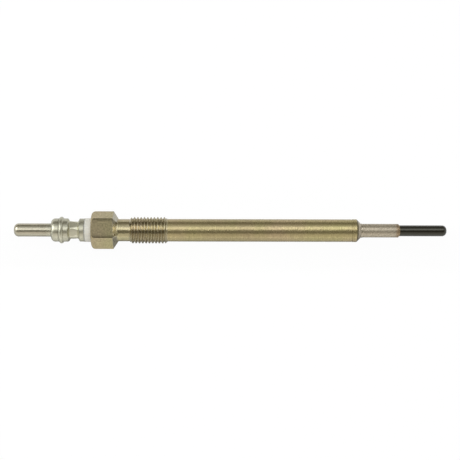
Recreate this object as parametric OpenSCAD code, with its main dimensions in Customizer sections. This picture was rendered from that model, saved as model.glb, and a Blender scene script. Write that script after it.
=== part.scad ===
// Diesel glow plug with a ceramic heater, lying on its side with a hexagon flat down.
// Its axis is X: the terminal points to -X and the heater tip to +X.
// The origin is on the axis, at the rim of the conical sealing seat.
// Lengths are in millimetres.

/* [Terminal] */
// Diameter of the round contact pin
pin_d = 4; // [3.6:0.1:4.4]
// Length of the contact pin, from its end to the collar
pin_length = 11.25; // [8:0.05:14]
// Rounding of the pin's free end
pin_round = 1.35; // [0.4:0.05:1.75]
// Diameter of the collar that a connector snaps over
collar_d = 7.05; // [6.6:0.05:7.4]
// Length of the collar
collar_length = 5.05; // [4.4:0.05:6]
// Rounding of the collar's shoulder
collar_round = 1.25; // [0.4:0.05:1.4]
// Diameter over the snap bead
bead_d = 8.05; // [7.6:0.05:8.4]
// Radius of the snap bead's section
bead_section_r = 0.7; // [0.5:0.05:0.9]
// Distance from the collar's front edge to the snap bead
bead_offset = 1.95; // [1.5:0.05:2.5]
// Length of the crimped neck, with its flared ends
crimp_length = 3.7; // [3:0.1:4.5]
// Size of the crimp across opposite flats
crimp_across = 4.9; // [4.5:0.05:5.2]
// Number of crimping jaws that closed on the neck
crimp_jaws = 6; // [6:2:8]
// Turn of the crimp about the axis, in degrees
crimp_turn = 25; // [0:1:60]
// Diameter of the flange that presses on the bush
flange_d = 6.95; // [6.6:0.05:7.4]
// Length of the flange
flange_length = 1.25; // [1:0.05:2]

/* [Insulating bush] */
// Diameter of the bush's visible flange
bush_d = 7.15; // [6.8:0.05:7.4]
// Length of the bush's visible flange
bush_length = 2.2; // [1.2:0.1:3]

/* [Hexagon head] */
// Hexagon size across flats
hex_across = 10; // [9.5:0.1:11]
// Length of the hexagon, measured along its corners
hex_length = 6.6; // [6:0.1:8]
// Rounding of the hexagon's crown
crown_round = 1.25; // [0.6:0.05:1.4]
// Angle between the head's sloping front and the axis, in degrees
head_slope = 54; // [45:1:65]

/* [Thread and shank] */
// Outside diameter of the thread
thread_d = 8; // [8, 9, 10]
// Pitch of the thread
thread_pitch = 1; // [0.75, 1, 1.25]
// Length of the thread
thread_length = 11.4; // [8:0.1:14]
// Diameter of the relief between head and thread
relief_d = 6.7; // [6.2:0.1:6.8]
// Length of the relief between the head's flats and the thread
relief_length = 3.7; // [2:0.1:5]
// Diameter of the shank
shank_d = 6.8; // [6.6:0.1:6.9]
// Length from the thread to the rim of the sealing seat
shank_length = 57; // [40:0.5:75]
// Diameter of the land behind the sealing seat
land_d = 6.9; // [6.8:0.05:7]
// Length of the land behind the sealing seat
land_length = 1.45; // [1:0.05:3]
// Angle between the sealing seat and the axis, in degrees
seat_angle = 45; // [40:1:60]

/* [Heater] */
// Outside diameter of the heater's metal sleeve
sleeve_d = 4.1; // [3.9:0.05:4.3]
// Distance from the seat's rim to the sleeve's end
sleeve_reach = 12.75; // [8:0.05:18]
// Distance from the seat's rim to the heater's tip
tip_reach = 27.2; // [22:0.1:34]
// Diameter of the ceramic rod
rod_d = 3.3; // [3.1:0.05:3.4]
// Length of the ceramic rod
rod_length = 42.5; // [40:0.5:44]
// Rounding of the ceramic rod's tip
tip_round = 1.35; // [0.5:0.05:1.5]
// Thickness of the U-shaped heating element
element_d = 0.8; // [0.6:0.05:0.9]
// Length of the heating element's two legs
element_leg = 5; // [3:0.5:7]
// Thickness of the leads behind the heating element
lead_d = 1; // [0.8:0.05:1]

/* [Inside the body] */
// Diameter of the centre electrode
electrode_d = 3; // [2.6:0.1:3.2]
// Bore of the body around the centre electrode
bore_d = 4.8; // [4.6:0.1:5]
// Bore of the head around the bush
counterbore_d = 6; // [5.6:0.1:6.2]
// Depth of the head's bore
counterbore_depth = 6.4; // [5.5:0.1:6.8]
// Wire diameter of the lead coil
coil_wire_d = 0.5; // [0.4:0.05:0.6]
// Number of turns in the lead coil
coil_turns = 6; // [4:0.5:8]

/* [Hidden] */

$fn = 96;
// Overlap that keeps a cut from ending on a face.
through = 1;

// Stations along the axis, from the seat back to the terminal.
thread_front = -shank_length;
thread_rear = thread_front - thread_length;
relief_rear = thread_rear - relief_length;
hex_front = relief_rear - (hex_across - relief_d) / 2 / tan(head_slope);
hex_rear = hex_front - hex_length;
bush_rear = hex_rear - bush_length;
flange_rear = bush_rear - flange_length;
collar_front = flange_rear - crimp_length;
shoulder = collar_front - collar_length;
pin_end = shoulder - pin_length;

// The bar that the head is made from clears the hexagon's corners.
corner_clear = 0.05;
head_bar_d = hex_across / cos(30) + 2 * corner_clear;

// The head's sloping front runs on into the relief until its corners are inside it, too.
slope_end_across = 0.84 * relief_d;
slope_end = hex_front + (hex_across - slope_end_across) / 2 / tan(head_slope);

// The crimp's flats start and end inside flared ends.
crimp_flare_rear = 0.65;
crimp_flare_front = 0.7;
crimp_depth = (collar_d - crimp_across) / 2;

// The thread is drawn at its outside diameter, with a chamfer down to the root at both ends.
thread_depth = 0.6134 * thread_pitch;
thread_chamfer = thread_depth * tan(45);

// The seat runs down to the sleeve, where the two are welded.
seat_end = (land_d - sleeve_d) / 2 / tan(seat_angle);
land_round = 0.25;
bush_edge = 0.15;

// The seal fills the bottom of the head's bore, between electrode and wall.
seal_section_d = (counterbore_d - electrode_d) / 2;
counterbore_floor = hex_rear + counterbore_depth;
seal_middle = counterbore_floor - seal_section_d / 2;
bush_front = counterbore_floor - seal_section_d;

// The cap covers the rod's rear end, and has a spigot for the coil.
rod_rear = tip_reach - rod_length;
cap_wall = 0.25;
cap_length = 3.4;
cap_d = rod_d + 2 * cap_wall;
cap_front = rod_rear + cap_length;
cap_rear = rod_rear - cap_wall;
spigot_d = 2.2;
spigot_length = 1.6;

// The sleeve is pressed into the body, and ends well in front of the cap.
sleeve_rear = cap_front + 1.6;
sleeve_bore_rear = sleeve_rear - 0.6;
sleeve_edge = 0.25;
mouth_countersink = 0.12;
braze_height = 0.3;

// The coil bridges the gap between the cap's spigot and the electrode's.
coil_gap = 3;
coil_end_gap = 0.05;
coil_fit = 0.03;
electrode_shoulder = cap_rear - 2 * spigot_length - coil_gap;
electrode_rear = shoulder + 1.1;
electrode_chamfer = 0.3;
coil_from = electrode_shoulder + coil_wire_d / 2 + coil_end_gap;
coil_to = cap_rear - coil_wire_d / 2 - coil_end_gap;
coil_middle_r = spigot_d / 2 + coil_wire_d / 2 + coil_fit;
coil_steps_per_turn = 16;
coil_sides = 8;

// The heating element is a hairpin just behind the tip, and a lead runs back from each leg.
leg_offset = 0.65;
element_bend = tip_reach - 3;
element_rear = element_bend - element_leg;
ground_tap = sleeve_rear + 7;
live_tap = cap_front - cap_length / 2;
lead_tail = 0.8;

// Half profiles are drawn as radius across and distance along the axis upwards.
module turned() {
    rotate([0, 90, 0]) rotate_extrude() children();
}

// A length of plain rod, with its rear and front edges rounded if asked.
module rod_profile(d, from, to, rear_round = 0, front_round = 0) {
    r = d / 2;
    translate([0, from + rear_round]) square([r, to - from - rear_round - front_round]);
    if (rear_round > 0) {
        rounded_edge_profile(r, from + rear_round, rear_round, -1);
    }
    if (front_round > 0) {
        rounded_edge_profile(r, to - front_round, front_round, 1);
    }
}

// The rounded end of a rod of radius r, from the station where it starts, towards +1 or -1.
module rounded_edge_profile(r, start, round, direction) {
    intersection() {
        translate([0, start + (direction < 0 ? -round : 0)]) square([r, round]);
        union() {
            translate([r - round, start]) circle(round);
            translate([0, start - round]) square([r - round, 2 * round]);
        }
    }
}

// A taper between two diameters.
module taper_profile(d_from, d_to, from, to) {
    polygon([[0, from], [d_from / 2, from], [d_to / 2, to], [0, to]]);
}

// One jaw of the crimping tool: a flat face with sloping ends.
module crimp_jaw() {
    reach = 2 * crimp_depth;
    rotate([90, 0, 0])
        linear_extrude(height = collar_d, center = true)
            polygon([
                [collar_front - crimp_flare_rear, crimp_across / 2 + reach],
                [collar_front + crimp_flare_rear, crimp_across / 2],
                [flange_rear - crimp_flare_front, crimp_across / 2],
                [flange_rear + crimp_flare_front, crimp_across / 2 + reach]
            ]);
}

// Turned from one bar: contact pin, collar with snap bead, crimped neck and flange.
module terminal_pin() {
    color("#b5ae9c")
        difference() {
            turned() {
                rod_profile(pin_d, pin_end, shoulder + through, rear_round = pin_round);
                rod_profile(collar_d, shoulder, collar_front, rear_round = collar_round);
                translate([bead_d / 2 - bead_section_r, collar_front - bead_offset]) circle(bead_section_r);
                rod_profile(flange_d, collar_front, bush_rear);
            }
            for (jaw = [0 : crimp_jaws - 1]) {
                rotate([crimp_turn + jaw * 360 / crimp_jaws, 0, 0]) crimp_jaw();
            }
            turned() {
                rod_profile(electrode_d, electrode_rear, bush_rear + through);
                taper_profile(0, electrode_d, electrode_rear - electrode_d / 2 / tan(59), electrode_rear);
            }
        }
}

// Moulded in one piece: a visible flange and a spigot in the head's bore.
module insulating_bush() {
    color("#e4e2dc")
        turned()
            difference() {
                union() {
                    rod_profile(bush_d, bush_rear, hex_rear, bush_edge, bush_edge);
                    rod_profile(counterbore_d, hex_rear - through, bush_front);
                }
                rod_profile(electrode_d, bush_rear - through, bush_front + through);
            }
}

// Rubber ring squeezed between the electrode and the head's bore.
module o_ring_seal() {
    color("#3a2f2b")
        turned()
            translate([(electrode_d + seal_section_d) / 2, seal_middle]) circle(seal_section_d / 2);
}

// A pair of opposite hexagon flats, with the slopes in front of them.
module flat_pair() {
    rotate([90, 0, 0])
        linear_extrude(height = 2 * hex_across, center = true)
            polygon([
                [hex_rear, -hex_across / 2],
                [hex_front, -hex_across / 2],
                [slope_end, -slope_end_across / 2],
                [slope_end, slope_end_across / 2],
                [hex_front, hex_across / 2],
                [hex_rear, hex_across / 2]
            ]);
}

// The hexagon: its crown rounded off, its front sloping from each flat down to the relief.
module hexagon_head() {
    intersection() {
        flat_pair();
        rotate([60, 0, 0]) flat_pair();
        rotate([120, 0, 0]) flat_pair();
        turned() rod_profile(head_bar_d, hex_rear, slope_end + through, rear_round = crown_round);
    }
}

// Everything round on the outside of the body, from the head to the seat.
module body_profile() {
    rod_profile(relief_d, relief_rear - through / 2, thread_rear + through);
    taper_profile(thread_d - 2 * thread_depth, thread_d, thread_rear, thread_rear + thread_chamfer);
    rod_profile(thread_d, thread_rear + thread_chamfer, thread_front - thread_chamfer);
    taper_profile(thread_d, thread_d - 2 * thread_depth, thread_front - thread_chamfer, thread_front);
    rod_profile(shank_d, thread_front - through, 0);
    rod_profile(land_d, -land_length, 0, rear_round = land_round);
    taper_profile(land_d, sleeve_d, 0, seat_end);
}

// The stepped bore: wide for bush and seal, then for the electrode, then for the sleeve.
module bore_profile() {
    step = (bore_d - sleeve_d) / 2 / tan(59);
    rod_profile(counterbore_d, hex_rear - through, counterbore_floor);
    rod_profile(bore_d, counterbore_floor - through, sleeve_bore_rear);
    taper_profile(bore_d, sleeve_d, sleeve_bore_rear, sleeve_bore_rear + step);
    rod_profile(sleeve_d, sleeve_bore_rear, seat_end + through);
}

// Formed and turned from one blank: head, thread, shank and seat.
module housing() {
    color("#a2946a")
        difference() {
            union() {
                hexagon_head();
                turned() body_profile();
            }
            turned() bore_profile();
        }
}

// The rod that carries the current from the terminal to the coil.
module centre_electrode() {
    color("#8f8d88")
        turned() {
            taper_profile(electrode_d - 2 * electrode_chamfer, electrode_d,
                electrode_rear, electrode_rear + electrode_chamfer);
            rod_profile(electrode_d, electrode_rear + electrode_chamfer, electrode_shoulder);
            rod_profile(spigot_d, electrode_shoulder - through, electrode_shoulder + spigot_length);
        }
}

// One point of the coil's wire surface, at a turn along the coil and an angle round the wire.
function coil_point(turn, side) =
    let (
        along = coil_from + (coil_to - coil_from) * turn / coil_turns,
        r = coil_middle_r + coil_wire_d / 2 * cos(360 * side / coil_sides)
    )
    [along + coil_wire_d / 2 * sin(360 * side / coil_sides), r * cos(360 * turn), r * sin(360 * turn)];

// A helix of round wire, closed flat at both ends.
module lead_coil() {
    rings = floor(coil_turns * coil_steps_per_turn);
    points = [
        for (ring = [0 : rings], side = [0 : coil_sides - 1])
            coil_point(ring / coil_steps_per_turn, side)
    ];
    walls = [
        for (ring = [0 : rings - 1], side = [0 : coil_sides - 1])
            let (
                a = ring * coil_sides + side,
                b = ring * coil_sides + (side + 1) % coil_sides
            )
            [a, b, b + coil_sides, a + coil_sides]
    ];
    rear_end = [for (side = [coil_sides - 1 : -1 : 0]) side];
    front_end = [for (side = [0 : coil_sides - 1]) rings * coil_sides + side];
    color("#9a958c") polyhedron(points, concat([rear_end], walls, [front_end]));
}

// Drawn cup over the rod's rear end, with a spigot for the coil.
module contact_cap() {
    color("#a9a59c")
        turned()
            difference() {
                union() {
                    rod_profile(cap_d, cap_rear, cap_front, rear_round = cap_wall);
                    rod_profile(spigot_d, cap_rear - spigot_length, cap_rear + cap_wall / 2);
                }
                rod_profile(rod_d, rod_rear, cap_front + through);
            }
}

// Metal tube round the ceramic rod, with a countersunk mouth for the braze.
module heater_sleeve() {
    mouth = rod_d + 2 * mouth_countersink;
    color("#aea59a")
        turned()
            difference() {
                rod_profile(sleeve_d, sleeve_rear, sleeve_reach, front_round = sleeve_edge);
                rod_profile(rod_d, sleeve_rear - through, sleeve_reach);
                taper_profile(rod_d, mouth, sleeve_reach - mouth_countersink, sleeve_reach);
            }
}

// Fillet of braze metal between the sleeve's mouth and the rod.
module braze_fillet() {
    color("#8d7a5e")
        turned()
            polygon([
                [rod_d / 2, sleeve_reach - mouth_countersink],
                [rod_d / 2 + mouth_countersink, sleeve_reach],
                [rod_d / 2, sleeve_reach + braze_height]
            ]);
}

// A lead inside the rod: side +1 or -1 of the axis, with a tap that runs out past the rod's surface.
module lead_shape(side, tap) {
    translate([tap - lead_tail, side * leg_offset, 0])
        rotate([0, 90, 0]) cylinder(d = lead_d, h = element_rear - tap + lead_tail);
    translate([tap, side * leg_offset, 0])
        rotate([-90 * side, 0, 0]) cylinder(d = lead_d, h = rod_d);
}

// The same lead with its tap finished flush with the rod.
module flush_lead(side, tap) {
    intersection() {
        lead_shape(side, tap);
        turned() rod_profile(rod_d, rod_rear, element_bend);
    }
}

// The hairpin: two legs and the bend that joins them.
module element_shape() {
    for (side = [-1, 1]) {
        translate([element_rear, side * leg_offset, 0])
            rotate([0, 90, 0]) cylinder(d = element_d, h = element_leg);
    }
    translate([element_bend, 0, 0])
        rotate([0, 0, -90])
            rotate_extrude(angle = 180) translate([leg_offset, 0]) circle(d = element_d);
}

// Sintered insulating ceramic, with the element and its leads embedded.
module ceramic_rod() {
    color("#2b2a28")
        difference() {
            turned() rod_profile(rod_d, rod_rear, tip_reach, front_round = tip_round);
            element_shape();
            lead_shape(1, ground_tap);
            lead_shape(-1, live_tap);
        }
}

// Conductive ceramic that glows.
module heating_element() {
    color("#4a4744") element_shape();
}

// Lead from one leg to the sleeve, which is earthed through the body.
module lead_ground() {
    color("#5a5854") flush_lead(1, ground_tap);
}

// Lead from the other leg to the contact cap.
module lead_live() {
    color("#5a5854") flush_lead(-1, live_tap);
}

terminal_pin();
insulating_bush();
o_ring_seal();
housing();
centre_electrode();
lead_coil();
contact_cap();
heater_sleeve();
braze_fillet();
ceramic_rod();
heating_element();
lead_ground();
lead_live();
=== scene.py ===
import math

import bmesh
import bpy
import numpy as np
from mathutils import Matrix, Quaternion, Vector


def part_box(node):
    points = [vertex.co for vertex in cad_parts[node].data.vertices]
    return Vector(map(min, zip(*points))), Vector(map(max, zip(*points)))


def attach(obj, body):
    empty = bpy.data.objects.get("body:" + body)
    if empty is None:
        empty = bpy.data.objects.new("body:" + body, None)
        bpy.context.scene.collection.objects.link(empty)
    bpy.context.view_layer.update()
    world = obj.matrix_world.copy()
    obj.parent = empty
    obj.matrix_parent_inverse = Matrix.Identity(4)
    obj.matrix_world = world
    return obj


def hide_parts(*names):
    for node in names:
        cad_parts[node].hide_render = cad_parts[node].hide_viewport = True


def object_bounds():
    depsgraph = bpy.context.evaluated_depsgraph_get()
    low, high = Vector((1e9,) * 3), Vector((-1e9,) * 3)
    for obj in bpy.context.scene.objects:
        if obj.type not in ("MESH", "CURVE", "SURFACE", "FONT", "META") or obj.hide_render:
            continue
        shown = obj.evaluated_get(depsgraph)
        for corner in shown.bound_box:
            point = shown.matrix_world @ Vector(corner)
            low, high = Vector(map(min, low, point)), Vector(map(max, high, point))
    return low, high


bl_info = {
    "name": "Diesel glow plug",
    "version": (1, 0, 0),
    "blender": (4, 5, 0),
    "location": "View3D > Sidebar > Glow plug",
    "description": "Makes the visible pieces of a diesel glow plug with a ceramic heater, and a stage for it",
    "category": "Object",
}

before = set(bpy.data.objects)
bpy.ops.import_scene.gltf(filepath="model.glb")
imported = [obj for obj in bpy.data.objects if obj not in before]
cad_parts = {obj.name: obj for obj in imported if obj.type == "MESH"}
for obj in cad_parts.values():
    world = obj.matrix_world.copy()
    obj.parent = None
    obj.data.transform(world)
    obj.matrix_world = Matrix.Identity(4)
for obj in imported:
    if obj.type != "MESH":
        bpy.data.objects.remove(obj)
CAD_BOX = [list(corner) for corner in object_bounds()]
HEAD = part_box("housing")
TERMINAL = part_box("terminal_pin")
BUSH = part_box("insulating_bush")
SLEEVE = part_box("heater_sleeve")
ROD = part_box("ceramic_rod")
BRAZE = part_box("braze_fillet")
MM = 0.001
# Bores in millimetres: radius and depth of the one in the head, and radius of the long one behind the sleeve.
HEAD_BORE, HEAD_BORE_DEPTH, LONG_BORE = 3.0, 6.4, 2.4
# A drill leaves a cone of 118 degrees at the bottom of a bore.
DRILL_POINT = math.radians(59)


def linear(hex_colour):
    """Linear red, green and blue of an sRGB hex colour."""
    shares = [int(hex_colour[i:i + 2], 16) / 255 for i in (1, 3, 5)]
    return [s / 12.92 if s <= 0.04045 else ((s + 0.055) / 1.055) ** 2.4 for s in shares]


def size(name, description, millimetres):
    """A length property, kept in metres."""
    return bpy.props.FloatProperty(name=name, description=description, default=millimetres * MM,
                                   subtype="DISTANCE", unit="LENGTH", precision=5)


def colour(name, description, hex_colour):
    """A colour property, from an sRGB hex value."""
    return bpy.props.FloatVectorProperty(name=name, description=description, default=linear(hex_colour),
                                         subtype="COLOR", size=3, min=0.0, max=1.0)


class PlugSizes(bpy.types.PropertyGroup):
    """Sizes of the plug's visible pieces; the rest comes from the frame"""

    crown_round: size("Crown rounding", "Rounding of the hexagon's crown", 1.25)
    hex_length: size("Hexagon length", "Length of the hexagon along its corners", 6.6)
    relief_d: size("Relief diameter", "Diameter of the relief between head and thread", 6.7)
    relief_rear: size("Relief start", "Station where the head's sloping flats meet the relief", -72.1)
    thread_d: size("Thread diameter", "Outside diameter of the thread", 8.0)
    thread_pitch: size("Thread pitch", "Distance from one turn of the thread to the next", 1.0)
    thread_depth: size("Thread depth", "Depth of the thread's groove, whose root is rounded", 0.5)
    thread_chamfer: size("Thread chamfer", "Length of the chamfer at each end of the thread", 0.6134)
    thread_rear: size("Thread start", "Station of the thread's end near the head", -68.4)
    thread_front: size("Thread end", "Station of the thread's end near the shank", -57.0)
    shank_d: size("Shank diameter", "Diameter of the plain shank", 6.8)
    land_d: size("Land diameter", "Diameter of the land behind the sealing seat", 6.9)
    land_length: size("Land length", "Length of the land behind the sealing seat", 1.45)
    groove_depth: size("Land groove depth", "Depth of the two turned grooves in the land", 0.07)
    weld_height: size("Weld height", "Height of the weld bead over the sleeve", 0.09)
    pin_d: size("Pin diameter", "Diameter of the contact pin", 4.0)
    pin_round: size("Pin end rounding", "Rounding of the contact pin's free end", 1.35)
    pin_length: size("Pin length", "Length of the contact pin up to the collar", 11.25)
    collar_d: size("Collar diameter", "Diameter of the terminal's collar", 7.05)
    collar_round: size("Shoulder rounding", "Rounding of the collar's shoulder", 1.25)
    collar_length: size("Collar length", "Length of the collar", 5.05)
    bead_section: size("Bead section", "Radius of the snap bead's section", 0.7)
    bead_offset: size("Bead offset", "Distance from the collar's front edge to the bead", 1.95)
    crimp_length: size("Crimp length", "Length of the crimped neck", 3.7)
    crimp_across: size("Crimp across flats", "Size of the crimp across opposite flats", 4.9)
    flange_d: size("Flange diameter", "Diameter of the terminal's flange", 6.95)
    electrode_d: size("Electrode diameter", "Bore of terminal and bush for the electrode", 3.0)
    crimp_turn: bpy.props.FloatProperty(name="Crimp turn", description="Turn of the crimp about the axis",
                                        default=math.radians(25), subtype="ANGLE", unit="ROTATION")


class PlugColours(bpy.types.PropertyGroup):
    """Colours of the plug's finishes"""

    zinc_olive: colour("Passivated zinc, olive", "Greenish-yellow side of the plating's hue", "#A3996E")
    zinc_tan: colour("Passivated zinc, tan", "Pinkish side of the plating's hue", "#A79675")
    nickel: colour("Nickel plate", "Plating of the terminal's pin", "#ADA794")
    nickel_grey: colour("Nickel plate, dull", "Plating of the terminal from the collar on", "#ABA896")
    plastic: colour("Plastic", "Moulded bush", "#C9C6BC")
    stainless: colour("Stainless steel", "Heater sleeve", "#A89E8C")
    heat_tint: colour("Heat tint", "Oxide at the sleeve's mouth", "#8C7A63")
    braze: colour("Braze", "Braze metal at the sleeve's mouth", "#8D7B60")
    ceramic: colour("Ceramic", "Heater rod", "#0D0B08")
    ceramic_gloss: colour("Ceramic gloss", "Tint of the heater rod's reflections", "#FFFCE7")


def soft_min(a, b, blend):
    """The smaller of two values, with the corner between them rounded off over the blend."""
    share = np.clip(0.5 + 0.5 * (b - a) / blend, 0, 1)
    return b + (a - b) * share - blend * share * (1 - share)


def flats(angles, first, across, blend):
    """Radius of a six-sided bar at each angle, its corners rounded; the first flat faces the given angle."""
    off = np.abs((angles - first + math.pi / 6) % (math.pi / 3) - math.pi / 6)
    return soft_min(across / 2 / np.cos(off), across / 2 / np.cos(math.pi / 3 - off), blend)


def rounded(corners, steps=6):
    """Rows (x, radius) along a profile given by its corners (x, radius, rounding)."""
    rows = []
    for i, (x, radius, rounding) in enumerate(corners):
        here = np.array([x, radius])
        if rounding == 0 or i in (0, len(corners) - 1):
            rows.append(here)
            continue
        back, ahead = np.array(corners[i - 1][:2]) - here, np.array(corners[i + 1][:2]) - here
        back, ahead = back / np.linalg.norm(back), ahead / np.linalg.norm(ahead)
        half = math.acos(np.clip(back @ ahead, -1, 1)) / 2
        reach = rounding / math.tan(half)
        middle = here + (back + ahead) / np.linalg.norm(back + ahead) * rounding / math.sin(half)
        first, last, turn = here + back * reach - middle, here + ahead * reach - middle, math.pi - 2 * half
        for t in np.linspace(0, 1, steps + 1):
            arm = math.sin((1 - t) * turn) * first + math.sin(t * turn) * last
            rows.append(middle + arm / math.sin(turn))
    return rows


def filled(rows, step, start, end):
    """The same rows, with more put in where they are further apart than a step between two stations."""
    result = [rows[0]]
    for a, b in zip(rows, rows[1:]):
        inside = start - 1e-6 <= min(a[0], b[0]) and max(a[0], b[0]) <= end + 1e-6
        count = max(1, math.ceil(np.linalg.norm(b - a) / step)) if inside else 1
        result += [a + (b - a) * k / count for k in range(1, count + 1)]
    return result


def turned_mesh(name, rows, angles):
    """A mesh of rings about the X axis, in metres, from rows in millimetres: x, and the radius or the radius
    at each angle. A row of radius 0 is a pole. Without poles the rows close to a tube."""
    count, points, rings = len(angles), [], []
    for x, radius in rows:
        first = len(points)
        if np.max(radius) < 1e-6:
            points.append((x * MM, 0.0, 0.0))
            rings.append([first] * count)
        else:
            radii = np.broadcast_to(radius, (count,)) * MM
            points += list(zip([x * MM] * count, radii * np.cos(angles), radii * np.sin(angles)))
            rings.append(list(range(first, first + count)))
    pairs = list(zip(rings, rings[1:]))
    if rings[0][0] != rings[0][-1]:
        pairs.append((rings[-1], rings[0]))
    faces = []
    for a, b in pairs:
        for i in range(count):
            j = (i + 1) % count
            faces.append(list(dict.fromkeys((a[i], a[j], b[j], b[i]))))
    mesh = bpy.data.meshes.new(name)
    mesh.from_pydata(points, [], faces)
    outward(mesh)
    return mesh


def outward(mesh):
    """Turns a closed mesh so that its faces point outwards, and shades it smooth but for its sharp edges."""
    work = bmesh.new()
    work.from_mesh(mesh)
    if work.calc_volume(signed=True) < 0:
        bmesh.ops.reverse_faces(work, faces=work.faces)
    work.to_mesh(mesh)
    work.free()
    mesh.shade_smooth()
    mesh.set_sharp_from_angle(angle=math.radians(65))


def place(mesh, node, material):
    """Puts a finished mesh in the scene in place of a CAD node."""
    piece = bpy.data.objects.new(mesh.name, mesh)
    bpy.context.scene.collection.objects.link(piece)
    mesh.materials.clear()
    mesh.materials.append(material)
    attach(piece, "root")
    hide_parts(node)


def add_node(tree, kind, links=None, **settings):
    """Adds a node with its settings, and sets or links its inputs."""
    node = tree.nodes.new(kind)
    for name, value in settings.items():
        setattr(node, name, value)
    for name, value in (links or {}).items():
        if isinstance(value, bpy.types.NodeSocket):
            tree.links.new(value, node.inputs[name])
        else:
            node.inputs[name].default_value = value
    return node


def new_material(name, **values):
    """A material with its principled shader, whose plain values are set on its own sockets."""
    material = bpy.data.materials.new(name)
    material.use_nodes = True
    shader = material.node_tree.nodes["Principled BSDF"]
    for key, value in values.items():
        shader.inputs[key.replace("_", " ")].default_value = value
    return material, material.node_tree, shader


def zone(tree, value, start, end, blend):
    """A mask that is 1 where a value lies between two limits, and fades to 0 over the blend outside them."""
    rise = add_node(tree, "ShaderNodeMapRange", {0: value, 1: start - blend, 2: start}).outputs[0]
    fall = add_node(tree, "ShaderNodeMapRange", {0: value, 1: end, 2: end + blend, 3: 1.0, 4: 0.0}).outputs[0]
    return add_node(tree, "ShaderNodeMath", {0: rise, 1: fall}, operation="MULTIPLY").outputs[0]


def stepped(tree, value, steps):
    """A value to which each step (mask, amount) is added, as far as its mask says."""
    for mask, amount in steps:
        value = add_node(tree, "ShaderNodeMath", {0: mask, 1: amount, 2: value},
                         operation="MULTIPLY_ADD").outputs[0]
    return value


def coat(tree, shader, hue, shade, rough, bump=None):
    """Links a shader to a colour that is scaled by its shade, to a roughness and to a bump."""
    tone = add_node(tree, "ShaderNodeVectorMath", {0: hue, "Scale": shade}, operation="SCALE").outputs[0]
    tree.links.new(tone, shader.inputs["Base Color"])
    tree.links.new(rough, shader.inputs["Roughness"])
    if bump:
        tree.links.new(bump, shader.inputs["Normal"])


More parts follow.
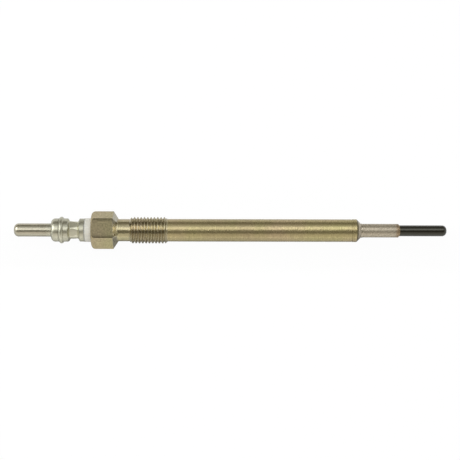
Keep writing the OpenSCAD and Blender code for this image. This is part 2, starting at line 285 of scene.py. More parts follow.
def passivated_zinc(colours, sizes):
    """Zinc plate with a yellow passivate on turned steel: a satin metal whose hue drifts between olive and
    tan, with fine lines round the turned lengths, a blotchy skin on the head, painted shade on the flat that
    faces up, painted shade and a painted highlight on the thread, a painted highlight on the sloping flat
    that faces up, a burnt ring at the seat and bare metal beside the weld."""
    material, tree, shader = new_material("zinc_plate_yellow_passivated", Metallic=1.0)
    place_on = add_node(tree, "ShaderNodeTexCoord").outputs["Object"]
    x, y, z = add_node(tree, "ShaderNodeSeparateXYZ", {0: place_on}).outputs
    across = add_node(tree, "ShaderNodeCombineXYZ", {1: y, 2: z}).outputs[0]
    radius = add_node(tree, "ShaderNodeVectorMath", {0: across}, operation="LENGTH").outputs["Value"]
    aside = add_node(tree, "ShaderNodeMath", {0: y}, operation="ABSOLUTE").outputs[0]
    # The hue drifts over about 9 mm.
    drift = add_node(tree, "ShaderNodeTexNoise",
                     {"Vector": place_on, "Scale": 1 / (9 * MM), "Detail": 2.0}).outputs["Fac"]
    drift = add_node(tree, "ShaderNodeMapRange", {0: drift, 1: 0.32, 2: 0.68}).outputs[0]
    # Turning marks are about 0.05 mm apart. They are drawn as streaks 0.4 mm wide, so that they show.
    wide, long = 0.4 * MM, 1.6 * MM
    streak = add_node(tree, "ShaderNodeVectorMath", {0: place_on, 1: (1 / wide, 1 / long, 1 / long)},
                      operation="MULTIPLY").outputs[0]
    lines = add_node(tree, "ShaderNodeTexNoise",
                     {"Vector": streak, "Scale": 1.0, "Detail": 3.0, "Roughness": 0.6}).outputs["Fac"]
    # The surface is uneven over about 0.9 mm, which breaks up the edges of reflections.
    uneven = add_node(tree, "ShaderNodeTexNoise",
                      {"Vector": place_on, "Scale": 1 / (0.9 * MM), "Detail": 2.0}).outputs["Fac"]
    # Blotches on the forged flats are about 0.5 mm wide.
    blotch = add_node(tree, "ShaderNodeTexNoise",
                      {"Vector": place_on, "Scale": 1 / (0.5 * MM), "Detail": 3.0}).outputs["Fac"]
    hex_front = HEAD[0].x + sizes.hex_length
    head = zone(tree, x, HEAD[0].x, hex_front - 0.1 * MM, 0.2 * MM)
    relief = zone(tree, x, hex_front + 0.1 * MM, sizes.thread_rear, 0.2 * MM)
    sloping = zone(tree, x, hex_front + 0.1 * MM, sizes.relief_rear, 0.2 * MM)
    thread = zone(tree, x, sizes.thread_rear, sizes.thread_front, 0.1 * MM)
    burnt = zone(tree, x, 0.05 * MM, 0.4 * MM, 0.15 * MM)
    ragged = add_node(tree, "ShaderNodeMath", {0: blotch, 1: 0.8 * MM, 2: x},
                      operation="MULTIPLY_ADD").outputs[0]
    weld = zone(tree, ragged, 1.0 * MM, 9 * MM, 0.4 * MM)
    forged = add_node(tree, "ShaderNodeMath", {0: head, 1: weld}, operation="ADD", use_clamp=True).outputs[0]
    mottled = add_node(tree, "ShaderNodeMapRange", {0: blotch, 1: 0.2, 2: 0.8}).outputs[0]
    grain = add_node(tree, "ShaderNodeMix", {0: forged, 2: lines, 3: mottled}).outputs[0]
    # Painted shade lies on the flat that faces up, and is darkest along its edges.
    facing = zone(tree, z, HEAD[1].z - 0.08 * MM, HEAD[1].z + MM, 0.06 * MM)
    edge = add_node(tree, "ShaderNodeMapRange",
                    {0: aside, 1: 1.8 * MM, 2: 2.6 * MM, 3: 0.58, 4: 0.74}).outputs[0]
    top_flat_shade = add_node(tree, "ShaderNodeMath", {0: facing, 1: edge}, operation="MULTIPLY").outputs[0]
    # The thread's crests are painted darker on the −Y side, as painted shade, and its flanks are painted
    # bright in a band just above the axis, as a painted highlight.
    crest, depth = sizes.thread_d / 2, sizes.thread_depth
    crest_shade = add_node(tree, "ShaderNodeMapRange",
                    {0: radius, 1: crest - 0.3 * depth, 2: crest - 0.1 * depth, 4: 0.24}).outputs[0]
    side = add_node(tree, "ShaderNodeMapRange", {0: y, 1: 0.3 * MM, 2: -0.4 * MM, 3: 0.2}).outputs[0]
    crest_shade = add_node(tree, "ShaderNodeMath", {0: crest_shade, 1: side}, operation="MULTIPLY").outputs[0]
    flank = zone(tree, radius, crest - 0.75 * depth, crest - 0.35 * depth, 0.15 * depth)
    upper = zone(tree, y, 0.1 * MM, 0.9 * MM, 0.3 * MM)
    flank = add_node(tree, "ShaderNodeMath", {0: flank, 1: upper}, operation="MULTIPLY").outputs[0]
    thread_painted_light = add_node(tree, "ShaderNodeMath", {0: flank, 1: -0.5, 2: crest_shade},
                    operation="MULTIPLY_ADD").outputs[0]
    thread_painted_light = add_node(tree, "ShaderNodeMath", {0: thread_painted_light, 1: thread}, operation="MULTIPLY").outputs[0]
    burnt = add_node(tree, "ShaderNodeMath", {0: burnt, 1: 0.7}, operation="MULTIPLY").outputs[0]
    # The sloping flat that faces up is painted bright, a painted highlight that carries the relief's
    # reflection up to the hexagon, and the flats beside it are painted slightly darker.
    painted_light = add_node(tree, "ShaderNodeMath", {0: y, 1: 0.7 * MM}, operation="ADD").outputs[0]
    painted_light = add_node(tree, "ShaderNodeMath", {0: painted_light}, operation="ABSOLUTE").outputs[0]
    painted_light = add_node(tree, "ShaderNodeMapRange", {0: painted_light, 1: 0.8 * MM, 2: 2.6 * MM, 3: 1.0, 4: -0.16},
                      interpolation_type="SMOOTHSTEP").outputs[0]
    # The plating is darker along the middle of the shank.
    middle = zone(tree, x, -44 * MM, -32 * MM, 10 * MM)
    shade = add_node(tree, "ShaderNodeMapRange", {0: grain, 1: 0.25, 2: 0.75, 3: 0.8, 4: 1.1}).outputs[0]
    shade = stepped(tree, shade, ((head, 0.03), (sloping, painted_light), (thread, -0.06), (middle, -0.08)))
    # The painted shade on the top flat, the thread's painted shade and highlight, and the burnt ring scale
    # the shade.
    for darkening in (top_flat_shade, thread_painted_light, burnt):
        remaining = add_node(tree, "ShaderNodeMath", {0: 1.0, 1: darkening}, operation="SUBTRACT").outputs[0]
        shade = add_node(tree, "ShaderNodeMath", {0: shade, 1: remaining}, operation="MULTIPLY").outputs[0]
    hue = add_node(tree, "ShaderNodeMix", {0: drift, 6: [*colours.zinc_olive, 1], 7: [*colours.zinc_tan, 1]},
                   data_type="RGBA").outputs[2]
    # The plating is paler on the head, the relief and the thread, and at the weld there is none.
    pale = stepped(tree, 0.0, ((head, 0.15), (relief, 0.3), (sloping, 0.45), (thread, 0.35)))
    for share, metal in ((pale, colours.nickel), (weld, colours.stainless)):
        hue = add_node(tree, "ShaderNodeMix", {0: share, 6: hue, 7: [*metal, 1]}, data_type="RGBA").outputs[2]
    rough = add_node(tree, "ShaderNodeMapRange", {0: grain, 1: 0.25, 2: 0.75, 3: 0.38, 4: 0.22}).outputs[0]
    rough = stepped(tree, rough, ((head, 0.1), (relief, -0.08), (thread, -0.15)))
    height = add_node(tree, "ShaderNodeMath", {0: lines, 1: 0.8, 2: uneven},
                      operation="MULTIPLY_ADD").outputs[0]
    reach = add_node(tree, "ShaderNodeMapRange", {0: head, 3: 0.035 * MM, 4: 0.01 * MM}).outputs[0]
    bump = add_node(tree, "ShaderNodeBump", {"Height": height, "Strength": 1.0, "Distance": reach}).outputs[0]
    coat(tree, shader, hue, shade, rough, bump)
    return material


def nickel_plate(colours, corners, crimp):
    """Nickel plate on turned steel: a bright satin metal, slightly yellow, with fine lines round it, greyer
    and rougher from the collar on, rougher again on the flange, painted lighter on the crimped neck and on
    one side from the collar on, and with painted shade in the corners. The stations of the corners and of the
    crimp's two ends are given."""
    material, tree, shader = new_material("nickel_plate_turned", Metallic=1.0)
    place_on = add_node(tree, "ShaderNodeTexCoord").outputs["Object"]
    x, y, _ = add_node(tree, "ShaderNodeSeparateXYZ", {0: place_on}).outputs
    # Turning lines are drawn 0.25 mm apart, so that they show.
    lines = add_node(tree, "ShaderNodeTexNoise", {"W": x, "Scale": 1 / (0.25 * MM), "Detail": 3.0},
                     noise_dimensions="1D").outputs["Fac"]
    # Tarnish lies in patches of about 2 mm.
    tarnish = add_node(tree, "ShaderNodeTexNoise",
                       {"Vector": place_on, "Scale": 1 / (2 * MM), "Detail": 3.0}).outputs["Fac"]
    grain = add_node(tree, "ShaderNodeMix", {0: 0.7, 2: lines, 3: tarnish}).outputs[0]
    start = corners[0] - 2 * MM
    collar = add_node(tree, "ShaderNodeMapRange", {0: x, 1: start, 2: start + 2.4 * MM}).outputs[0]
    # The crimped neck is painted lighter: painted light.
    painted_light = zone(tree, x, crimp[0] + 0.6 * MM, crimp[1] - 0.3 * MM, 0.4 * MM)
    flange = add_node(tree, "ShaderNodeMapRange", {0: x, 1: crimp[1], 2: crimp[1] + 0.4 * MM}).outputs[0]
    # From the collar on, the −Y side is painted lighter: painted light.
    bright = add_node(tree, "ShaderNodeMapRange", {0: y, 1: -0.2 * MM, 2: -1.2 * MM, 4: 0.2}).outputs[0]
    shade = add_node(tree, "ShaderNodeMapRange", {0: grain, 1: 0.3, 2: 0.7, 3: 0.8, 4: 1.05}).outputs[0]
    shade = stepped(tree, shade, ((painted_light, 0.32), (collar, bright)))
    # Painted shade darkens the corners beside the shoulder, the bead and the flange.
    for corner in corners:
        corner_shade = zone(tree, x, corner - 0.08 * MM, corner + 0.08 * MM, 0.12 * MM)
        remaining = add_node(tree, "ShaderNodeMapRange", {0: corner_shade, 3: 1.0, 4: 0.7}).outputs[0]
        shade = add_node(tree, "ShaderNodeMath", {0: shade, 1: remaining}, operation="MULTIPLY").outputs[0]
    hue = add_node(tree, "ShaderNodeMix", {0: collar, 6: [*colours.nickel, 1], 7: [*colours.nickel_grey, 1]},
                   data_type="RGBA").outputs[2]
    rough = add_node(tree, "ShaderNodeMapRange", {0: grain, 1: 0.25, 2: 0.75, 3: 0.3, 4: 0.18}).outputs[0]
    rough = stepped(tree, rough, ((collar, 0.08), (flange, 0.05), (painted_light, 0.1)))
    height = add_node(tree, "ShaderNodeMath", {0: lines, 1: 0.3, 2: tarnish},
                      operation="MULTIPLY_ADD").outputs[0]
    bump = add_node(tree, "ShaderNodeBump",
                    {"Height": height, "Strength": 1.0, "Distance": 0.006 * MM}).outputs[0]
    coat(tree, shader, hue, shade, rough, bump)
    return material


def moulded_plastic(colours):
    """Filled white plastic, moulded: off-white, satin, slightly see-through at its edges, with a faint
    speckle and a line of painted shade where it meets the terminal's flange."""
    material, tree, shader = new_material("white_plastic_moulded", IOR=1.5, Subsurface_Weight=0.15,
                                          Subsurface_Scale=0.4 * MM)
    shader.inputs["Subsurface Radius"].default_value = (1.0, 0.9, 0.7)
    place_on = add_node(tree, "ShaderNodeTexCoord").outputs["Object"]
    # Filler grains show as specks of about 0.3 mm.
    specks = add_node(tree, "ShaderNodeTexNoise",
                      {"Vector": place_on, "Scale": 1 / (0.3 * MM), "Detail": 3.0}).outputs["Fac"]
    shade = add_node(tree, "ShaderNodeMapRange", {0: specks, 1: 0.3, 2: 0.7, 3: 0.94, 4: 1.03}).outputs[0]
    x = add_node(tree, "ShaderNodeSeparateXYZ", {0: place_on}).outputs["X"]
    # Painted shade darkens the bush where it meets the flange.
    darkening = BUSH[0].x + 0.2 * MM
    remaining = add_node(tree, "ShaderNodeMapRange", {0: x, 1: darkening, 2: darkening + 0.2 * MM, 3: 0.45}).outputs[0]
    shade = add_node(tree, "ShaderNodeMath", {0: shade, 1: remaining}, operation="MULTIPLY").outputs[0]
    rough = add_node(tree, "ShaderNodeMapRange", {0: specks, 3: 0.55, 4: 0.4}).outputs[0]
    bump = add_node(tree, "ShaderNodeBump",
                    {"Height": specks, "Strength": 0.1, "Distance": 0.01 * MM}).outputs[0]
    coat(tree, shader, list(colours.plastic), shade, rough, bump)
    return material


def ground_stainless(colours):
    """Stainless tube, ground and then heated in brazing: a matt, grainy warm grey, browned at its mouth."""
    material, tree, shader = new_material("stainless_tube_ground", Metallic=1.0)
    place_on = add_node(tree, "ShaderNodeTexCoord").outputs["Object"]
    x = add_node(tree, "ShaderNodeSeparateXYZ", {0: place_on}).outputs["X"]
    # Grains of about 0.1 mm, drawn 0.35 mm wide, so that they show.
    grain = add_node(tree, "ShaderNodeTexNoise",
                     {"Vector": place_on, "Scale": 1 / (0.35 * MM), "Detail": 2.0}).outputs["Fac"]
    shade = add_node(tree, "ShaderNodeMapRange", {0: grain, 1: 0.32, 2: 0.68, 3: 0.7, 4: 1.25}).outputs[0]
    reach = SLEEVE[1].x
    tint = add_node(tree, "ShaderNodeMath", {0: grain, 1: 0.6 * MM, 2: x},
                    operation="MULTIPLY_ADD").outputs[0]
    tint = add_node(tree, "ShaderNodeMapRange",
                    {0: tint, 1: reach - 0.9 * MM, 2: reach - 0.1 * MM}).outputs[0]
    hue = add_node(tree, "ShaderNodeMix", {0: tint, 6: [*colours.stainless, 1], 7: [*colours.heat_tint, 1]},
                   data_type="RGBA").outputs[2]
    rough = add_node(tree, "ShaderNodeMapRange", {0: grain, 3: 0.54, 4: 0.38}).outputs[0]
    bump = add_node(tree, "ShaderNodeBump",
                    {"Height": grain, "Strength": 0.5, "Distance": 0.02 * MM}).outputs[0]
    coat(tree, shader, hue, shade, rough, bump)
    return material


def braze_metal(colours):
    """Braze alloy, as it flowed: a dull brownish metal with a wavy skin."""
    material, tree, shader = new_material("braze_as_flowed", Metallic=1.0)
    place_on = add_node(tree, "ShaderNodeTexCoord").outputs["Object"]
    # Waves of about 0.4 mm.
    waves = add_node(tree, "ShaderNodeTexNoise",
                     {"Vector": place_on, "Scale": 1 / (0.4 * MM), "Detail": 3.0}).outputs["Fac"]
    shade = add_node(tree, "ShaderNodeMapRange", {0: waves, 3: 0.7, 4: 1.2}).outputs[0]
    rough = add_node(tree, "ShaderNodeMapRange", {0: waves, 3: 0.5, 4: 0.3}).outputs[0]
    bump = add_node(tree, "ShaderNodeBump",
                    {"Height": waves, "Strength": 0.4, "Distance": 0.03 * MM}).outputs[0]
    coat(tree, shader, list(colours.braze), shade, rough, bump)
    return material


def ground_ceramic(colours):
    """Silicon nitride, ground: near black, satin, with a fine even grain."""
    material, tree, shader = new_material("silicon_nitride_ground", IOR=1.55)
    shader.inputs["Specular Tint"].default_value = [*colours.ceramic_gloss, 1]
    place_on = add_node(tree, "ShaderNodeTexCoord").outputs["Object"]
    # Grinding marks and grains of about 0.2 mm.
    grain = add_node(tree, "ShaderNodeTexNoise",
                     {"Vector": place_on, "Scale": 1 / (0.2 * MM), "Detail": 3.0}).outputs["Fac"]
    shade = add_node(tree, "ShaderNodeMapRange", {0: grain, 1: 0.3, 2: 0.7, 3: 0.8, 4: 1.2}).outputs[0]
    rough = add_node(tree, "ShaderNodeMapRange", {0: grain, 1: 0.3, 2: 0.7, 3: 0.21, 4: 0.14}).outputs[0]
    bump = add_node(tree, "ShaderNodeBump",
                    {"Height": grain, "Strength": 0.12, "Distance": 0.02 * MM}).outputs[0]
    coat(tree, shader, list(colours.ceramic), shade, rough, bump)
    return material


def inner_finish(name, hex_colour, metallic, rough_low, rough_high, grain_mm):
    """A finish for a piece inside the plug: its colour and its gloss vary with a fine grain."""
    material, tree, shader = new_material(name, Metallic=metallic)
    place_on = add_node(tree, "ShaderNodeTexCoord").outputs["Object"]
    grain = add_node(tree, "ShaderNodeTexNoise",
                     {"Vector": place_on, "Scale": 1 / (grain_mm * MM), "Detail": 3.0}).outputs["Fac"]
    shade = add_node(tree, "ShaderNodeMapRange", {0: grain, 1: 0.3, 2: 0.7, 3: 0.85, 4: 1.1}).outputs[0]
    rough = add_node(tree, "ShaderNodeMapRange", {0: grain, 3: rough_high, 4: rough_low}).outputs[0]
    coat(tree, shader, linear(hex_colour), shade, rough)
    return material


def thread_tree():
    """Cuts a right-handed thread into a round bar along X: between two stations, the surface is brought in to
    a helical groove with sloping flanks, wherever it stands proud of it."""
    tree = bpy.data.node_groups.new("thread_cut", "GeometryNodeTree")
    for name, kind in (("Geometry", "Geometry"), ("Start", "Float"), ("End", "Float"), ("Pitch", "Float"),
                       ("Root radius", "Float"), ("Depth", "Float"), ("Material", "Material")):
        tree.interface.new_socket(name, in_out="INPUT", socket_type="NodeSocket" + kind)
    tree.interface.new_socket("Geometry", in_out="OUTPUT", socket_type="NodeSocketGeometry")
    given = add_node(tree, "NodeGroupInput").outputs
    here = add_node(tree, "GeometryNodeInputPosition").outputs[0]
    x, y, z = add_node(tree, "ShaderNodeSeparateXYZ", {0: here}).outputs
    across = add_node(tree, "ShaderNodeCombineXYZ", {1: y, 2: z}).outputs[0]
    radius = add_node(tree, "ShaderNodeVectorMath", {0: across}, operation="LENGTH").outputs["Value"]
    angle = add_node(tree, "ShaderNodeMath", {0: z, 1: y}, operation="ARCTAN2").outputs[0]
    pitches = add_node(tree, "ShaderNodeMath", {0: x, 1: given["Pitch"]}, operation="DIVIDE").outputs[0]
    phase = add_node(tree, "ShaderNodeMath", {0: angle, 1: -0.5 / math.pi, 2: pitches},
                     operation="MULTIPLY_ADD").outputs[0]
    phase = add_node(tree, "ShaderNodeMath", {0: phase}, operation="FRACT").outputs[0]
    from_root = add_node(tree, "ShaderNodeMath", {0: phase, 1: 0.5}, operation="SUBTRACT").outputs[0]
    from_root = add_node(tree, "ShaderNodeMath", {0: from_root}, operation="ABSOLUTE").outputs[0]
    # The crest is flat over a sixth of the pitch, and the root over a tenth.
    flank = add_node(tree, "ShaderNodeMapRange", {0: from_root, 1: 0.05, 2: 0.42},
                     interpolation_type="SMOOTHSTEP").outputs[0]
    limit = add_node(tree, "ShaderNodeMath", {0: flank, 1: given["Depth"], 2: given["Root radius"]},
                     operation="MULTIPLY_ADD").outputs[0]
    limit = add_node(tree, "ShaderNodeMath", {0: limit, 1: radius}, operation="MINIMUM").outputs[0]
    shrink = add_node(tree, "ShaderNodeMath", {0: limit, 1: radius}, operation="DIVIDE").outputs[0]
    moved = add_node(tree, "ShaderNodeVectorMath", {0: across, "Scale": shrink}, operation="SCALE").outputs[0]
    along = add_node(tree, "ShaderNodeCombineXYZ", {0: x}).outputs[0]
    moved = add_node(tree, "ShaderNodeVectorMath", {0: moved, 1: along}, operation="ADD").outputs[0]
    chosen = add_node(tree, "FunctionNodeCompare", {0: x, 1: given["Start"]},
                      operation="GREATER_THAN").outputs[0]
    before = add_node(tree, "FunctionNodeCompare", {0: x, 1: given["End"]}, operation="LESS_THAN").outputs[0]
    outside = add_node(tree, "FunctionNodeCompare", {0: radius, 1: given["Root radius"]},
                       operation="GREATER_THAN").outputs[0]
    for test in (before, outside):
        chosen = add_node(tree, "FunctionNodeBooleanMath", {0: chosen, 1: test}, operation="AND").outputs[0]
    cut = add_node(tree, "GeometryNodeSetPosition",
                   {"Geometry": given["Geometry"], "Selection": chosen, "Position": moved}).outputs[0]
    plain = add_node(tree, "GeometryNodeRealizeInstances", {0: cut}).outputs[0]
    coated = add_node(tree, "GeometryNodeSetMaterial",
                      {"Geometry": plain, "Material": given["Material"]}).outputs[0]
    add_node(tree, "NodeGroupOutput", {0: coated})
    return tree


def with_nodes(mesh, tree, values):
    """The plain mesh that a node tree makes of a mesh, with the tree's inputs set by name."""
    holder = bpy.data.objects.new(mesh.name, mesh)
    bpy.context.scene.collection.objects.link(holder)
    modifier = holder.modifiers.new(tree.name, "NODES")
    modifier.node_group = tree
    for item in tree.interface.items_tree:
        if item.in_out == "INPUT" and item.name in values:
            modifier[item.identifier] = values[item.name]
    depsgraph = bpy.context.evaluated_depsgraph_get()
    result = bpy.data.meshes.new_from_object(holder.evaluated_get(depsgraph))
    name = mesh.name
    bpy.data.objects.remove(holder)
    bpy.data.meshes.remove(mesh)
    result.name = name
    return result


class GLOWPLUG_OT_housing(bpy.types.Operator):
    """Make the housing: hexagon head, relief, thread, shank, grooved land, sealing seat and weld"""

    bl_idname = "glow_plug.housing"
    bl_label = "Housing"

    def execute(self, context):
        sizes = context.scene.glow_plug_sizes
        rear, across = HEAD[0].x / MM, (HEAD[1].z - HEAD[0].z) / MM
        corner = across / 2 / math.cos(math.pi / 6)
        front = rear + sizes.hex_length / MM
        relief_rear, relief = sizes.relief_rear / MM, sizes.relief_d / MM / 2
        start, end = sizes.thread_rear / MM, sizes.thread_front / MM
        crest, chamfer = sizes.thread_d / MM / 2, sizes.thread_chamfer / MM
        shank, land, length = sizes.shank_d / MM / 2, sizes.land_d / MM / 2, sizes.land_length / MM
        groove, weld = sizes.groove_depth / MM, sizes.weld_height / MM
        sleeve, back, seat = SLEEVE[1].y / MM, SLEEVE[0].x / MM, HEAD[1].x / MM
        # In front of the hexagon, each flat slopes down to the relief, and its corners run on to the foot.
        slope = (across / 2 - relief) / (relief_rear - front)
        foot = front + (across / 2 - 0.8 * relief) / slope
        profile = rounded([
            # Head, with the corners that its sloping flats cut off.
            (rear, HEAD_BORE, 0), (rear, corner, sizes.crown_round / MM), (front - 0.2, corner, 0),
            (foot, corner, 0), (foot + 0.04, relief, 0),
            # Relief, thread and shank.
            (start, relief, 0.05), (start + chamfer + 0.03, crest, 0.06), (end - chamfer, crest, 0.06),
            (end, shank, 0.05), (-length, shank, 0.02),
            # Land with its two grooves.
            (-length + 0.06, shank - groove, 0.03), (-length + 0.16, shank - groove, 0.03),
            (-length + 0.24, land, 0.04), (-0.82, land, 0.04), (-0.76, land - groove, 0.03),
            (-0.66, land - groove, 0.03), (-0.6, land, 0.04),
            # Sealing seat and weld.
            (0, land, 0.2), (seat - 0.2, sleeve + 0.2, 0.12), (seat - 0.05, sleeve + weld * 0.6, 0.05),
            (seat + 0.15, sleeve + weld, 0.12), (seat + 0.4, sleeve + weld * 0.7, 0.12),
            (seat + 0.55, sleeve, 0),
            # Bores, from the sleeve's back to the head.
            (back + 0.2 - 0.6, sleeve, 0), (back - 0.6, LONG_BORE, 0), (rear + HEAD_BORE_DEPTH, LONG_BORE, 0),
            (rear + HEAD_BORE_DEPTH, HEAD_BORE, 0),
        ], steps=8)
        profile = filled(profile, 0.04, front - 0.2, foot)
        profile = filled(profile, 0.06, start, end)
        profile = filled(profile, 1.0, end, -length)
        # Columns stand closer together near the hexagon's corners.
        half = np.radians(30) * (np.arange(16) / 16) ** 1.6
        sector = np.concatenate([half, np.radians(60) - half[:0:-1], [np.radians(30)]])
        angles = np.sort(np.concatenate([sector + np.radians(60) * k for k in range(6)]))
        hexagon = flats(angles, math.pi / 2, across, 0.12) / (across / 2)
        rows = []
        for x, r in profile:
            if x < foot + 0.01 and r > HEAD_BORE + 0.2:
                reach = soft_min(across / 2, across / 2 - slope * (x - front), 0.1)
                r = -soft_min(-soft_min(hexagon * reach, r, 0.1), -relief, 0.15)
            rows.append((x, r))
        mesh = turned_mesh("plug_housing", rows, angles)
        material = passivated_zinc(context.scene.glow_plug_colours, sizes)
        mesh = with_nodes(mesh, thread_tree(), {
            "Start": sizes.thread_rear, "End": sizes.thread_front, "Pitch": sizes.thread_pitch,
            "Root radius": sizes.thread_d / 2 - sizes.thread_depth, "Depth": sizes.thread_depth,
            "Material": material})
        place(mesh, "housing", material)
        return {"FINISHED"}


class GLOWPLUG_OT_terminal(bpy.types.Operator):
    """Make the terminal: contact pin, collar with snap bead, crimped neck and flange"""

    bl_idname = "glow_plug.terminal"
    bl_label = "Terminal"

    def execute(self, context):
        sizes = context.scene.glow_plug_sizes
        rear, front = TERMINAL[0].x / MM, TERMINAL[1].x / MM
        pin, collar, flange = sizes.pin_d / MM / 2, sizes.collar_d / MM / 2, sizes.flange_d / MM / 2
        shoulder = rear + sizes.pin_length / MM
        collar_front = shoulder + sizes.collar_length / MM
        crimp_front = collar_front + sizes.crimp_length / MM
        bead, section = collar_front - sizes.bead_offset / MM, sizes.bead_section / MM
        bead_r = TERMINAL[1].y / MM - section
        foot = math.asin((collar - bead_r) / section)
        bore, bore_end = sizes.electrode_d / MM / 2, shoulder + 1.1
        profile = rounded([(rear, 0, 0), (rear, pin, sizes.pin_round / MM), (shoulder, pin, 0.15),
                           (shoulder, collar, sizes.collar_round / MM), (bead - section - 0.1, collar, 0)],
                          steps=10)
        for a in np.linspace(math.pi - foot, foot, 19):
            profile.append(np.array([bead + section * math.cos(a), bead_r + section * math.sin(a)]))
        profile += rounded([(bead + section + 0.1, collar, 0), (collar_front, collar, 0.03),
                            (collar_front + 0.05, flange, 0.03), (front, flange, 0.12), (front, bore, 0),
                            (bore_end, bore, 0), (bore_end - bore / math.tan(DRILL_POINT), 0, 0)])
        profile = filled(profile, 0.06, bead + section, front)
        angles = np.linspace(0, 2 * math.pi, 144, endpoint=False)
        half = sizes.crimp_across / MM / 2
        jaw = flats(angles, math.pi / 2 + sizes.crimp_turn, sizes.crimp_across / MM, 0.3) / half
        rows = []
        for x, r in profile:
            if collar_front - 0.8 < x < crimp_front + 0.8 and r > bore + 0.01:
                reach = np.interp(x, [collar_front - 0.65, collar_front + 0.65,
                                      crimp_front - 0.7, crimp_front + 0.7],
                                  [half + 2.3, half, half, half + 2.3])
                # Between the jaws, a strip of the round neck is left, which widens towards the flange.
                neck = np.interp(x, [collar_front + 0.6, crimp_front - 0.6], [1.16, 1.03]) * reach
                r = soft_min(soft_min(jaw * reach, neck, 0.06), r, 0.18)
            rows.append((x, r))
        mesh = turned_mesh("plug_terminal", rows, angles)
        corners = [x * MM for x in (shoulder, bead - section - 0.05, crimp_front)]
        crimp = collar_front * MM, crimp_front * MM
        place(mesh, "terminal_pin", nickel_plate(context.scene.glow_plug_colours, corners, crimp))
        return {"FINISHED"}


class GLOWPLUG_OT_bush(bpy.types.Operator):
    """Make the insulating bush: a visible flange and a spigot in the head's bore"""

    bl_idname = "glow_plug.bush"
    bl_label = "Insulating bush"

    def execute(self, context):
        rear, front, head = BUSH[0].x / MM, BUSH[1].x / MM, HEAD[0].x / MM
        radius, bore = BUSH[1].y / MM, context.scene.glow_plug_sizes.electrode_d / MM / 2
        profile = rounded([(rear, bore, 0), (rear, radius, 0.18), (head, radius, 0.06), (head, HEAD_BORE, 0),
                           (front, HEAD_BORE, 0.15), (front, bore, 0)])
        mesh = turned_mesh("plug_bush", profile, np.linspace(0, 2 * math.pi, 128, endpoint=False))
        place(mesh, "insulating_bush", moulded_plastic(context.scene.glow_plug_colours))
        return {"FINISHED"}


class GLOWPLUG_OT_heater(bpy.types.Operator):
    """Make the heater: metal sleeve, braze ring and ceramic rod"""

    bl_idname = "glow_plug.heater"
    bl_label = "Heater"

    def execute(self, context):
        colours = context.scene.glow_plug_colours
        angles = np.linspace(0, 2 * math.pi, 96, endpoint=False)
        rear, reach, sleeve = SLEEVE[0].x / MM, SLEEVE[1].x / MM, SLEEVE[1].y / MM
        rod_rear, tip, rod = ROD[0].x / MM, ROD[1].x / MM, ROD[1].y / MM
        lip = BRAZE[1].y / MM
        profile = rounded([(rear, rod, 0), (rear, sleeve, 0.1), (reach, sleeve, 0.25), (reach, lip, 0),
                           (BRAZE[0].x / MM, rod, 0)])
        profile = filled(profile, 1.0, 0, reach)
        place(turned_mesh("plug_sleeve", profile, angles), "heater_sleeve", ground_stainless(colours))
        # The braze flowed further along the rod on some sides than on others.
        flow = 1 + 0.12 * np.sin(2 * angles + 0.7) + 0.08 * np.sin(5 * angles)
        rows = [(BRAZE[0].x / MM, rod), (reach, lip)]
        for t in np.linspace(0.15, 1, 7):
            rows.append((reach + t * (BRAZE[1].x / MM - reach), rod + (lip - rod) * (1 - t) ** 1.5 * flow))
        place(turned_mesh("plug_braze", rows, angles), "braze_fillet", braze_metal(colours))
        profile = rounded([(rod_rear, 0, 0), (rod_rear, rod, 0.1), (tip, rod, 1.35), (tip, 0, 0)], steps=12)
        profile = filled(profile, 1.0, reach, tip)
        place(turned_mesh("plug_heater_rod", profile, angles), "ceramic_rod", ground_ceramic(colours))
        return {"FINISHED"}


class GLOWPLUG_OT_inner_pieces(bpy.types.Operator):
    """Give the pieces inside the plug their finishes"""

    bl_idname = "glow_plug.inner_pieces"
    bl_label = "Inner pieces"

    def execute(self, context):
        # Rubber: matt and nearly black. Drawn steel: smooth and grey. Nickel: softer and warmer.
        # Conductive ceramic: dull and dark grey.
        rubber = inner_finish("nitrile_rubber_moulded", "#2A2422", 0.0, 0.55, 0.75, 0.4)
        steel = inner_finish("steel_rod_drawn", "#A19E98", 1.0, 0.25, 0.4, 0.5)
        nickel = inner_finish("nickel_bare", "#B3AC9F", 1.0, 0.25, 0.4, 0.4)
        ceramic = inner_finish("conductive_ceramic_sintered", "#4A4744", 0.0, 0.5, 0.7, 0.2)
        for node, material in (("o_ring_seal", rubber), ("centre_electrode", steel), ("lead_coil", nickel),
                               ("contact_cap", nickel), ("heating_element", ceramic),
                               ("lead_ground", ceramic), ("lead_live", ceramic)):
            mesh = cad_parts[node].data
            mesh.materials.clear()
            mesh.materials.append(material)
        return {"FINISHED"}


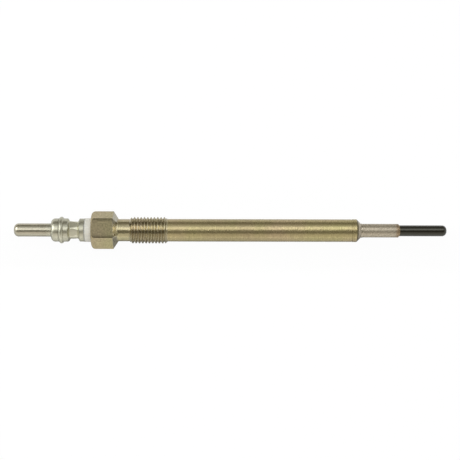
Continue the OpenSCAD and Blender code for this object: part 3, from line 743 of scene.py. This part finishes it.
def white_paper():
    """The floor's paper: the camera and reflections see it nearly white; it keeps the plug's shadow, and a
    painted shadow deepens it.
    """
    material = bpy.data.materials.new("white_paper")
    material.use_nodes = True
    tree = material.node_tree
    tree.nodes.clear()
    path = add_node(tree, "ShaderNodeLightPath").outputs
    mirrored = add_node(tree, "ShaderNodeMath", {0: path["Is Glossy Ray"], 1: path["Is Transmission Ray"]},
                        operation="ADD").outputs[0]
    # In reflections the floor is painted dark where the plug's shadow lies in front of it, a painted shadow,
    # and is painted brightest beyond the plug's ends.
    place_on = add_node(tree, "ShaderNodeTexCoord").outputs["Object"]
    x, y, _ = add_node(tree, "ShaderNodeSeparateXYZ", {0: place_on}).outputs
    beside = zone(tree, x, CAD_BOX[0][0], CAD_BOX[1][0], 15 * MM)
    shadow = zone(tree, y, -10 * MM, 0.0, 3 * MM)
    shadow = add_node(tree, "ShaderNodeMath", {0: shadow, 1: beside}, operation="MULTIPLY").outputs[0]
    lit = add_node(tree, "ShaderNodeMapRange", {0: beside, 3: 0.9, 4: 0.4}).outputs[0]
    lit = add_node(tree, "ShaderNodeMix", {0: shadow, 2: lit, 3: 0.0}).outputs[0]
    mirrored = add_node(tree, "ShaderNodeMath", {0: mirrored, 1: lit}, operation="MULTIPLY").outputs[0]
    seen = add_node(tree, "ShaderNodeMath", {0: path["Is Camera Ray"], 1: 0.97, 2: mirrored},
                    operation="MULTIPLY_ADD").outputs[0]
    # The paper is painted grey where the plug's shadow lies: a painted shadow.
    grey = add_node(tree, "ShaderNodeMapRange", {0: shadow, 3: 0.95, 4: 0.6}).outputs[0]
    paper = add_node(tree, "ShaderNodeBsdfDiffuse", {"Color": grey}).outputs[0]
    white = add_node(tree, "ShaderNodeEmission", {"Color": (1, 1, 1, 1), "Strength": 1.0}).outputs[0]
    both = add_node(tree, "ShaderNodeMixShader", {0: seen, 1: paper, 2: white}).outputs[0]
    add_node(tree, "ShaderNodeOutputMaterial", {"Surface": both})
    return material


def dim_room():
    """The world: a dim room, white near the horizon and higher up on the fill's side. The camera sees it
    white."""
    world = bpy.data.worlds.new("room")
    world.use_nodes = True
    tree = world.node_tree
    tree.nodes.clear()
    toward = add_node(tree, "ShaderNodeTexCoord").outputs["Generated"]
    x, y, z = add_node(tree, "ShaderNodeSeparateXYZ", {0: toward}).outputs
    lift = add_node(tree, "ShaderNodeMapRange", {0: y, 1: -0.2, 2: 0.2, 3: 0.0, 4: 0.2}).outputs[0]
    lift = add_node(tree, "ShaderNodeMath", {0: z, 1: lift}, operation="ADD").outputs[0]
    level = add_node(tree, "ShaderNodeMapRange", {0: lift, 1: 0.1, 2: 0.27, 3: 1.0, 4: 0.3}).outputs[0]
    # The wall beside the softbox catches some of its light.
    lean = add_node(tree, "ShaderNodeMath", {0: y, 1: z}, operation="ARCTAN2").outputs[0]
    glow = add_node(tree, "ShaderNodeMapRange",
                    {0: lean, 1: math.radians(27), 2: math.radians(75), 3: 0.75, 4: 0.0},
                    interpolation_type="SMOOTHSTEP").outputs[0]
    beside = add_node(tree, "ShaderNodeMath", {0: lean, 1: math.radians(22)},
                      operation="GREATER_THAN").outputs[0]
    level = add_node(tree, "ShaderNodeMath", {0: glow, 1: beside, 2: level},
                     operation="MULTIPLY_ADD").outputs[0]
    # So do the walls past the plug's ends.
    end = add_node(tree, "ShaderNodeMath", {0: x}, operation="ABSOLUTE").outputs[0]
    end = add_node(tree, "ShaderNodeMapRange", {0: end, 1: 0.6, 2: 0.95, 4: 0.65}).outputs[0]
    level = add_node(tree, "ShaderNodeMath", {0: level, 1: end}, operation="ADD").outputs[0]
    # What is dim is warm, and what is bright is cool.
    warm, cool = [*linear("#FFF7DE"), 1], [*linear("#F9FDFF"), 1]
    tint = add_node(tree, "ShaderNodeMix", {0: level, 6: warm, 7: cool}, data_type="RGBA").outputs[2]
    seen = add_node(tree, "ShaderNodeLightPath").outputs["Is Camera Ray"]
    tint = add_node(tree, "ShaderNodeMix", {0: seen, 6: tint, 7: (1, 1, 1, 1)}, data_type="RGBA").outputs[2]
    level = add_node(tree, "ShaderNodeMath", {0: level, 1: seen}, operation="MAXIMUM").outputs[0]
    room = add_node(tree, "ShaderNodeBackground", {"Color": tint, "Strength": level}).outputs[0]
    add_node(tree, "ShaderNodeOutputWorld", {"Surface": room})
    return world


def hang_panels(scene):
    """Hangs three soft panels of light 0.6 m from the plug's middle."""
    middle = Vector((-38 * MM, 0, 0))
    # Direction, length and width in metres, turn in degrees, radiance and colour.
    for name, direction, length, width, turn, radiance, hex_colour in (
            ("softbox", (0, 0.21, 0.98), 0.98, 0.27, 18, 2.0, "#F8FBFF"),
            ("fill", (0, -0.9, 0.43), 1.5, 0.52, 0, 0.77, "#FFFCFB"),
            ("side", (-0.74, 0.24, 0.64), 0.45, 0.35, 0, 3.4, "#F8FBFF")):
        light = bpy.data.lights.new(name, "AREA")
        light.color = linear(hex_colour)
        light.shape, light.size, light.size_y = "RECTANGLE", length, width
        light.energy = radiance * math.pi * length * width
        lamp = bpy.data.objects.new(name, light)
        away = Vector(direction).normalized()
        lamp.location = middle + away * 0.6
        facing = away.to_track_quat("Z", "Y") @ Quaternion((0, 0, 1), math.radians(turn))
        lamp.rotation_euler = facing.to_euler()
        scene.collection.objects.link(lamp)


def stand_camera(scene):
    """Stands the camera where the photo was taken from, 0.4 m from the plug and nearly over it."""
    camera = bpy.data.objects.new("camera", bpy.data.cameras.new("camera"))
    scene.collection.objects.link(camera)
    aim, elevation = Vector((-38.16 * MM, 0.11 * MM, 0)), math.radians(83.2)
    back = Vector((0, -math.cos(elevation), math.sin(elevation)))
    camera.location = aim + back * 0.4
    # The photographed plug lies an eighth of a degree off level.
    turn = (-back).to_track_quat("-Z", "Y") @ Quaternion((0, 0, 1), math.radians(0.126))
    camera.rotation_euler = turn.to_euler()
    camera.data.lens = 103.6
    camera.data.clip_start = 0.01
    scene.camera = camera


class GLOWPLUG_OT_stage(bpy.types.Operator):
    """Make the stage: white floor, world, three soft panels of light and the camera"""

    bl_idname = "glow_plug.stage"
    bl_label = "Stage"

    def execute(self, context):
        scene = context.scene
        scene.view_settings.view_transform = "Standard"
        # The floor touches the hexagon's flat and the land behind the seat.
        low, slope = HEAD[0].z, (scene.glow_plug_sizes.land_d / 2 + HEAD[0].z) / HEAD[0].x
        corners = [(x, y, low - slope * (x - HEAD[0].x)) for x, y in ((-3, -3), (3, -3), (3, 3), (-3, 3))]
        mesh = bpy.data.meshes.new("floor")
        mesh.from_pydata(corners, [], [(0, 1, 2, 3)])
        mesh.materials.append(white_paper())
        floor = bpy.data.objects.new("floor", mesh)
        scene.collection.objects.link(floor)
        scene.world = dim_room()
        hang_panels(scene)
        stand_camera(scene)
        return {"FINISHED"}


class GLOWPLUG_PT_panel(bpy.types.Panel):
    """Lists the plug's pieces, sizes and colours"""

    bl_idname = "GLOWPLUG_PT_panel"
    bl_label = "Glow plug"
    bl_space_type = "VIEW_3D"
    bl_region_type = "UI"
    bl_category = "Glow plug"

    def draw(self, context):
        for operator in OPERATORS:
            self.layout.operator(operator.bl_idname)
        for group in (context.scene.glow_plug_sizes, context.scene.glow_plug_colours):
            for name in group.__annotations__:
                self.layout.prop(group, name)


OPERATORS = (GLOWPLUG_OT_housing, GLOWPLUG_OT_terminal, GLOWPLUG_OT_bush, GLOWPLUG_OT_heater,
             GLOWPLUG_OT_inner_pieces, GLOWPLUG_OT_stage)
CLASSES = (PlugSizes, PlugColours, *OPERATORS, GLOWPLUG_PT_panel)


def register():
    for item in CLASSES:
        bpy.utils.register_class(item)
    bpy.types.Scene.glow_plug_sizes = bpy.props.PointerProperty(type=PlugSizes)
    bpy.types.Scene.glow_plug_colours = bpy.props.PointerProperty(type=PlugColours)


def unregister():
    del bpy.types.Scene.glow_plug_colours
    del bpy.types.Scene.glow_plug_sizes
    for item in reversed(CLASSES):
        bpy.utils.unregister_class(item)


def main():
    register()
    bpy.ops.glow_plug.housing()
    bpy.ops.glow_plug.terminal()
    bpy.ops.glow_plug.bush()
    bpy.ops.glow_plug.heater()
    bpy.ops.glow_plug.inner_pieces()
    bpy.ops.glow_plug.stage()


if __name__ == "__main__":
    main()
